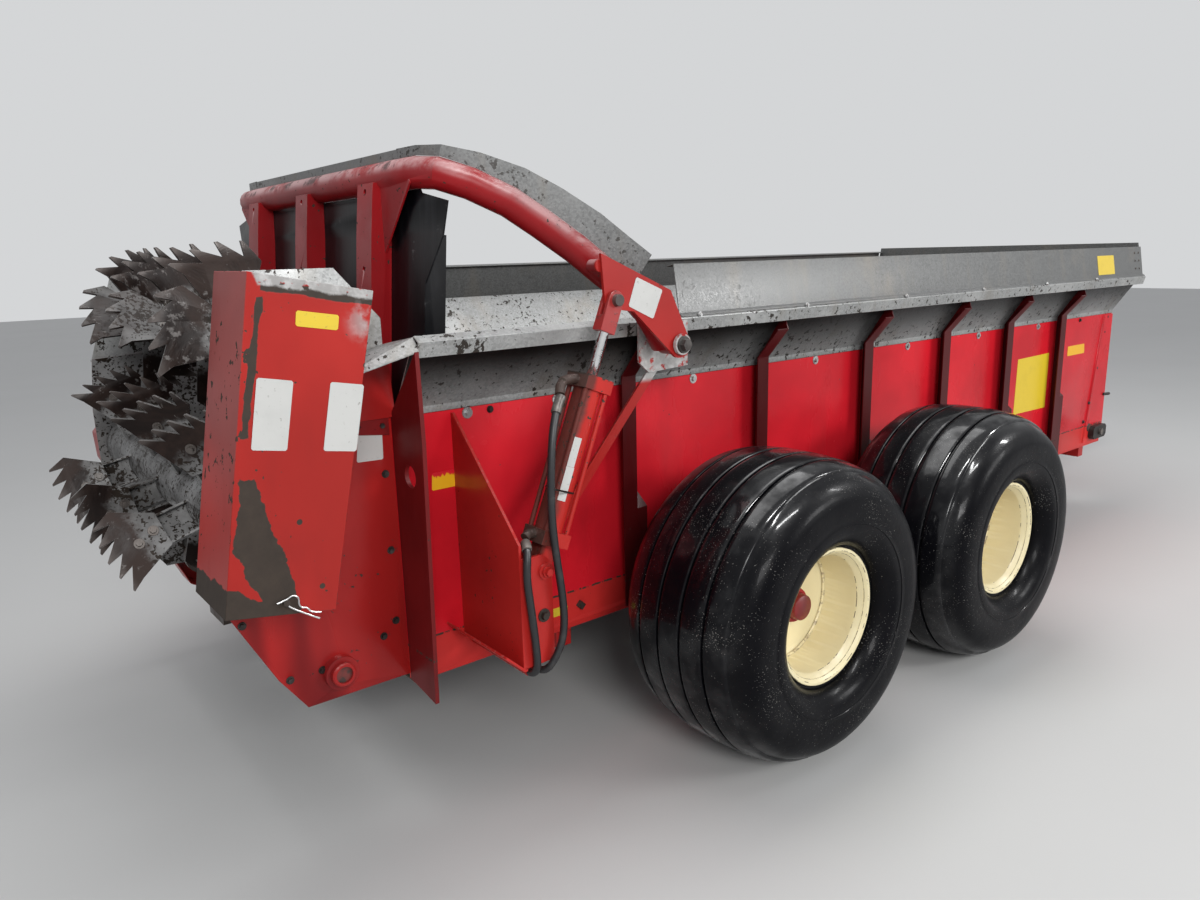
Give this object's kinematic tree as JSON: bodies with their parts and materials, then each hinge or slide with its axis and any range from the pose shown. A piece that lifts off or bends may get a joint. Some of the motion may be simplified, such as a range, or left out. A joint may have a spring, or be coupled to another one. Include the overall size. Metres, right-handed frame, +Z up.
{
  "type": "towed manure spreader",
  "caption": "Towed box manure spreader on walking tandem axles, with floor chain, lifting endgate and toothed beaters.",
  "frame": {"origin": "middle of the overall length and width, on the ground", "axes": "+X forward to the hitch, +Y left, +Z up"},
  "size_m": [7.2107, 3.006, 1.9385],
  "materials": {
    "red_paint": "semi-gloss red farm paint, chipped along edges",
    "galvanised": "spangled galvanised sheet, splashed",
    "dark_steel": "dark brown worn steel",
    "bare_steel": "scoured bare steel",
    "cream_paint": "cream wheel paint",
    "tyre_rubber": "shiny black rubber",
    "chrome_rod": "polished",
    "hose_rubber": "black hose cover"
  },
  "bodies": {
    "root": {"floor_sheet": "bare_steel", "floor_chain_shafts": "bare_steel", "floor_chain": "dark_steel", "hitch_clevis": "dark_steel", "driveline": "dark_steel", "side_wall_left": "red_paint", "side_wall_right": "red_paint", "front_wall": "red_paint", "rear_sheet_left": "red_paint", "rear_sheet_right": "red_paint", "chain_guard": "red_paint", "drive_case": "red_paint", "lift_bracket_left": "red_paint", "lift_bracket_right": "red_paint", "undercarriage": "red_paint", "walking_beam_left": "red_paint", "walking_beam_right": "red_paint", "tongue": "red_paint", "jack_tube": "red_paint", "flare_left": "galvanised", "flare_right": "galvanised", "side_board_left": "galvanised", "side_board_right": "galvanised", "front_board": "galvanised", "wing_left": "galvanised", "wing_right": "galvanised", "hoses_left": "hose_rubber", "hoses_right": "hose_rubber"},
    "wheel_front_left": {"tyre_front_left": "tyre_rubber", "rim_front_left": "cream_paint"},
    "wheel_front_right": {"tyre_front_right": "tyre_rubber", "rim_front_right": "cream_paint"},
    "wheel_rear_left": {"tyre_rear_left": "tyre_rubber", "rim_rear_left": "cream_paint"},
    "wheel_rear_right": {"tyre_rear_right": "tyre_rubber", "rim_rear_right": "cream_paint"},
    "gate": {"gate_frame": "red_paint", "gate_sheet": "dark_steel", "gate_shield": "galvanised"},
    "lift_barrel_left": {"barrel_left": "red_paint"},
    "lift_rod_left": {"rod_left": "chrome_rod"},
    "lift_barrel_right": {"barrel_right": "red_paint"},
    "lift_rod_right": {"rod_right": "chrome_rod"},
    "lower_beater": {"beater_lower": "dark_steel"},
    "upper_beater": {"beater_upper": "dark_steel"},
    "jack": {"jack_leg": "galvanised"}
  },
  "joints": [
    {"name": "spin_front_left", "type": "hinge", "parent": "root", "child": "wheel_front_left", "pos_m": [-0.666, 1.23, 0.5], "axis": [0, 1, 0], "continuous": true},
    {"name": "spin_front_right", "type": "hinge", "parent": "root", "child": "wheel_front_right", "pos_m": [-0.666, -1.23, 0.5], "axis": [0, 1, 0], "continuous": true},
    {"name": "spin_rear_left", "type": "hinge", "parent": "root", "child": "wheel_rear_left", "pos_m": [-1.794, 1.23, 0.5], "axis": [0, 1, 0], "continuous": true},
    {"name": "spin_rear_right", "type": "hinge", "parent": "root", "child": "wheel_rear_right", "pos_m": [-1.794, -1.23, 0.5], "axis": [0, 1, 0], "continuous": true},
    {"name": "gate_lift", "type": "hinge", "parent": "root", "child": "gate", "pos_m": [-2.07, 0, 1.356], "axis": [0, 1, 0], "range_deg": [0, 50]},
    {"name": "barrel_swing_left", "type": "hinge", "parent": "root", "child": "lift_barrel_left", "pos_m": [-2.627, 1.057, 0.772], "axis": [0, 1, 0], "range_deg": [0, 7.72]},
    {"name": "rod_slide_left", "type": "slide", "parent": "lift_barrel_left", "child": "lift_rod_left", "axis": [0.3742, 0, 0.9273], "range_m": [0, 0.2239]},
    {"name": "barrel_swing_right", "type": "hinge", "parent": "root", "child": "lift_barrel_right", "pos_m": [-2.627, -1.057, 0.772], "axis": [0, 1, 0], "range_deg": [0, 7.72]},
    {"name": "rod_slide_right", "type": "slide", "parent": "lift_barrel_right", "child": "lift_rod_right", "axis": [0.3742, 0, 0.9273], "range_m": [0, 0.2239]},
    {"name": "lower_beater_spin", "type": "hinge", "parent": "root", "child": "lower_beater", "pos_m": [-3.27, 0, 0.96], "axis": [0, 1, 0], "continuous": true},
    {"name": "upper_beater_spin", "type": "hinge", "parent": "root", "child": "upper_beater", "pos_m": [-3.195, 0, 1.43], "axis": [0, 1, 0], "continuous": true},
    {"name": "jack_wind", "type": "slide", "parent": "root", "child": "jack", "axis": [0, 0, 1], "range_m": [0, 0.25]}
  ],
  "couplings": [
    {"joint": "barrel_swing_left", "follows": "gate_lift", "ratio": 0.15418},
    {"joint": "rod_slide_left", "follows": "gate_lift", "m_per_rad": 0.25638},
    {"joint": "barrel_swing_right", "follows": "gate_lift", "ratio": 0.15418},
    {"joint": "rod_slide_right", "follows": "gate_lift", "m_per_rad": 0.25638},
    {"joint": "upper_beater_spin", "follows": "lower_beater_spin", "ratio": 1}
  ]
}
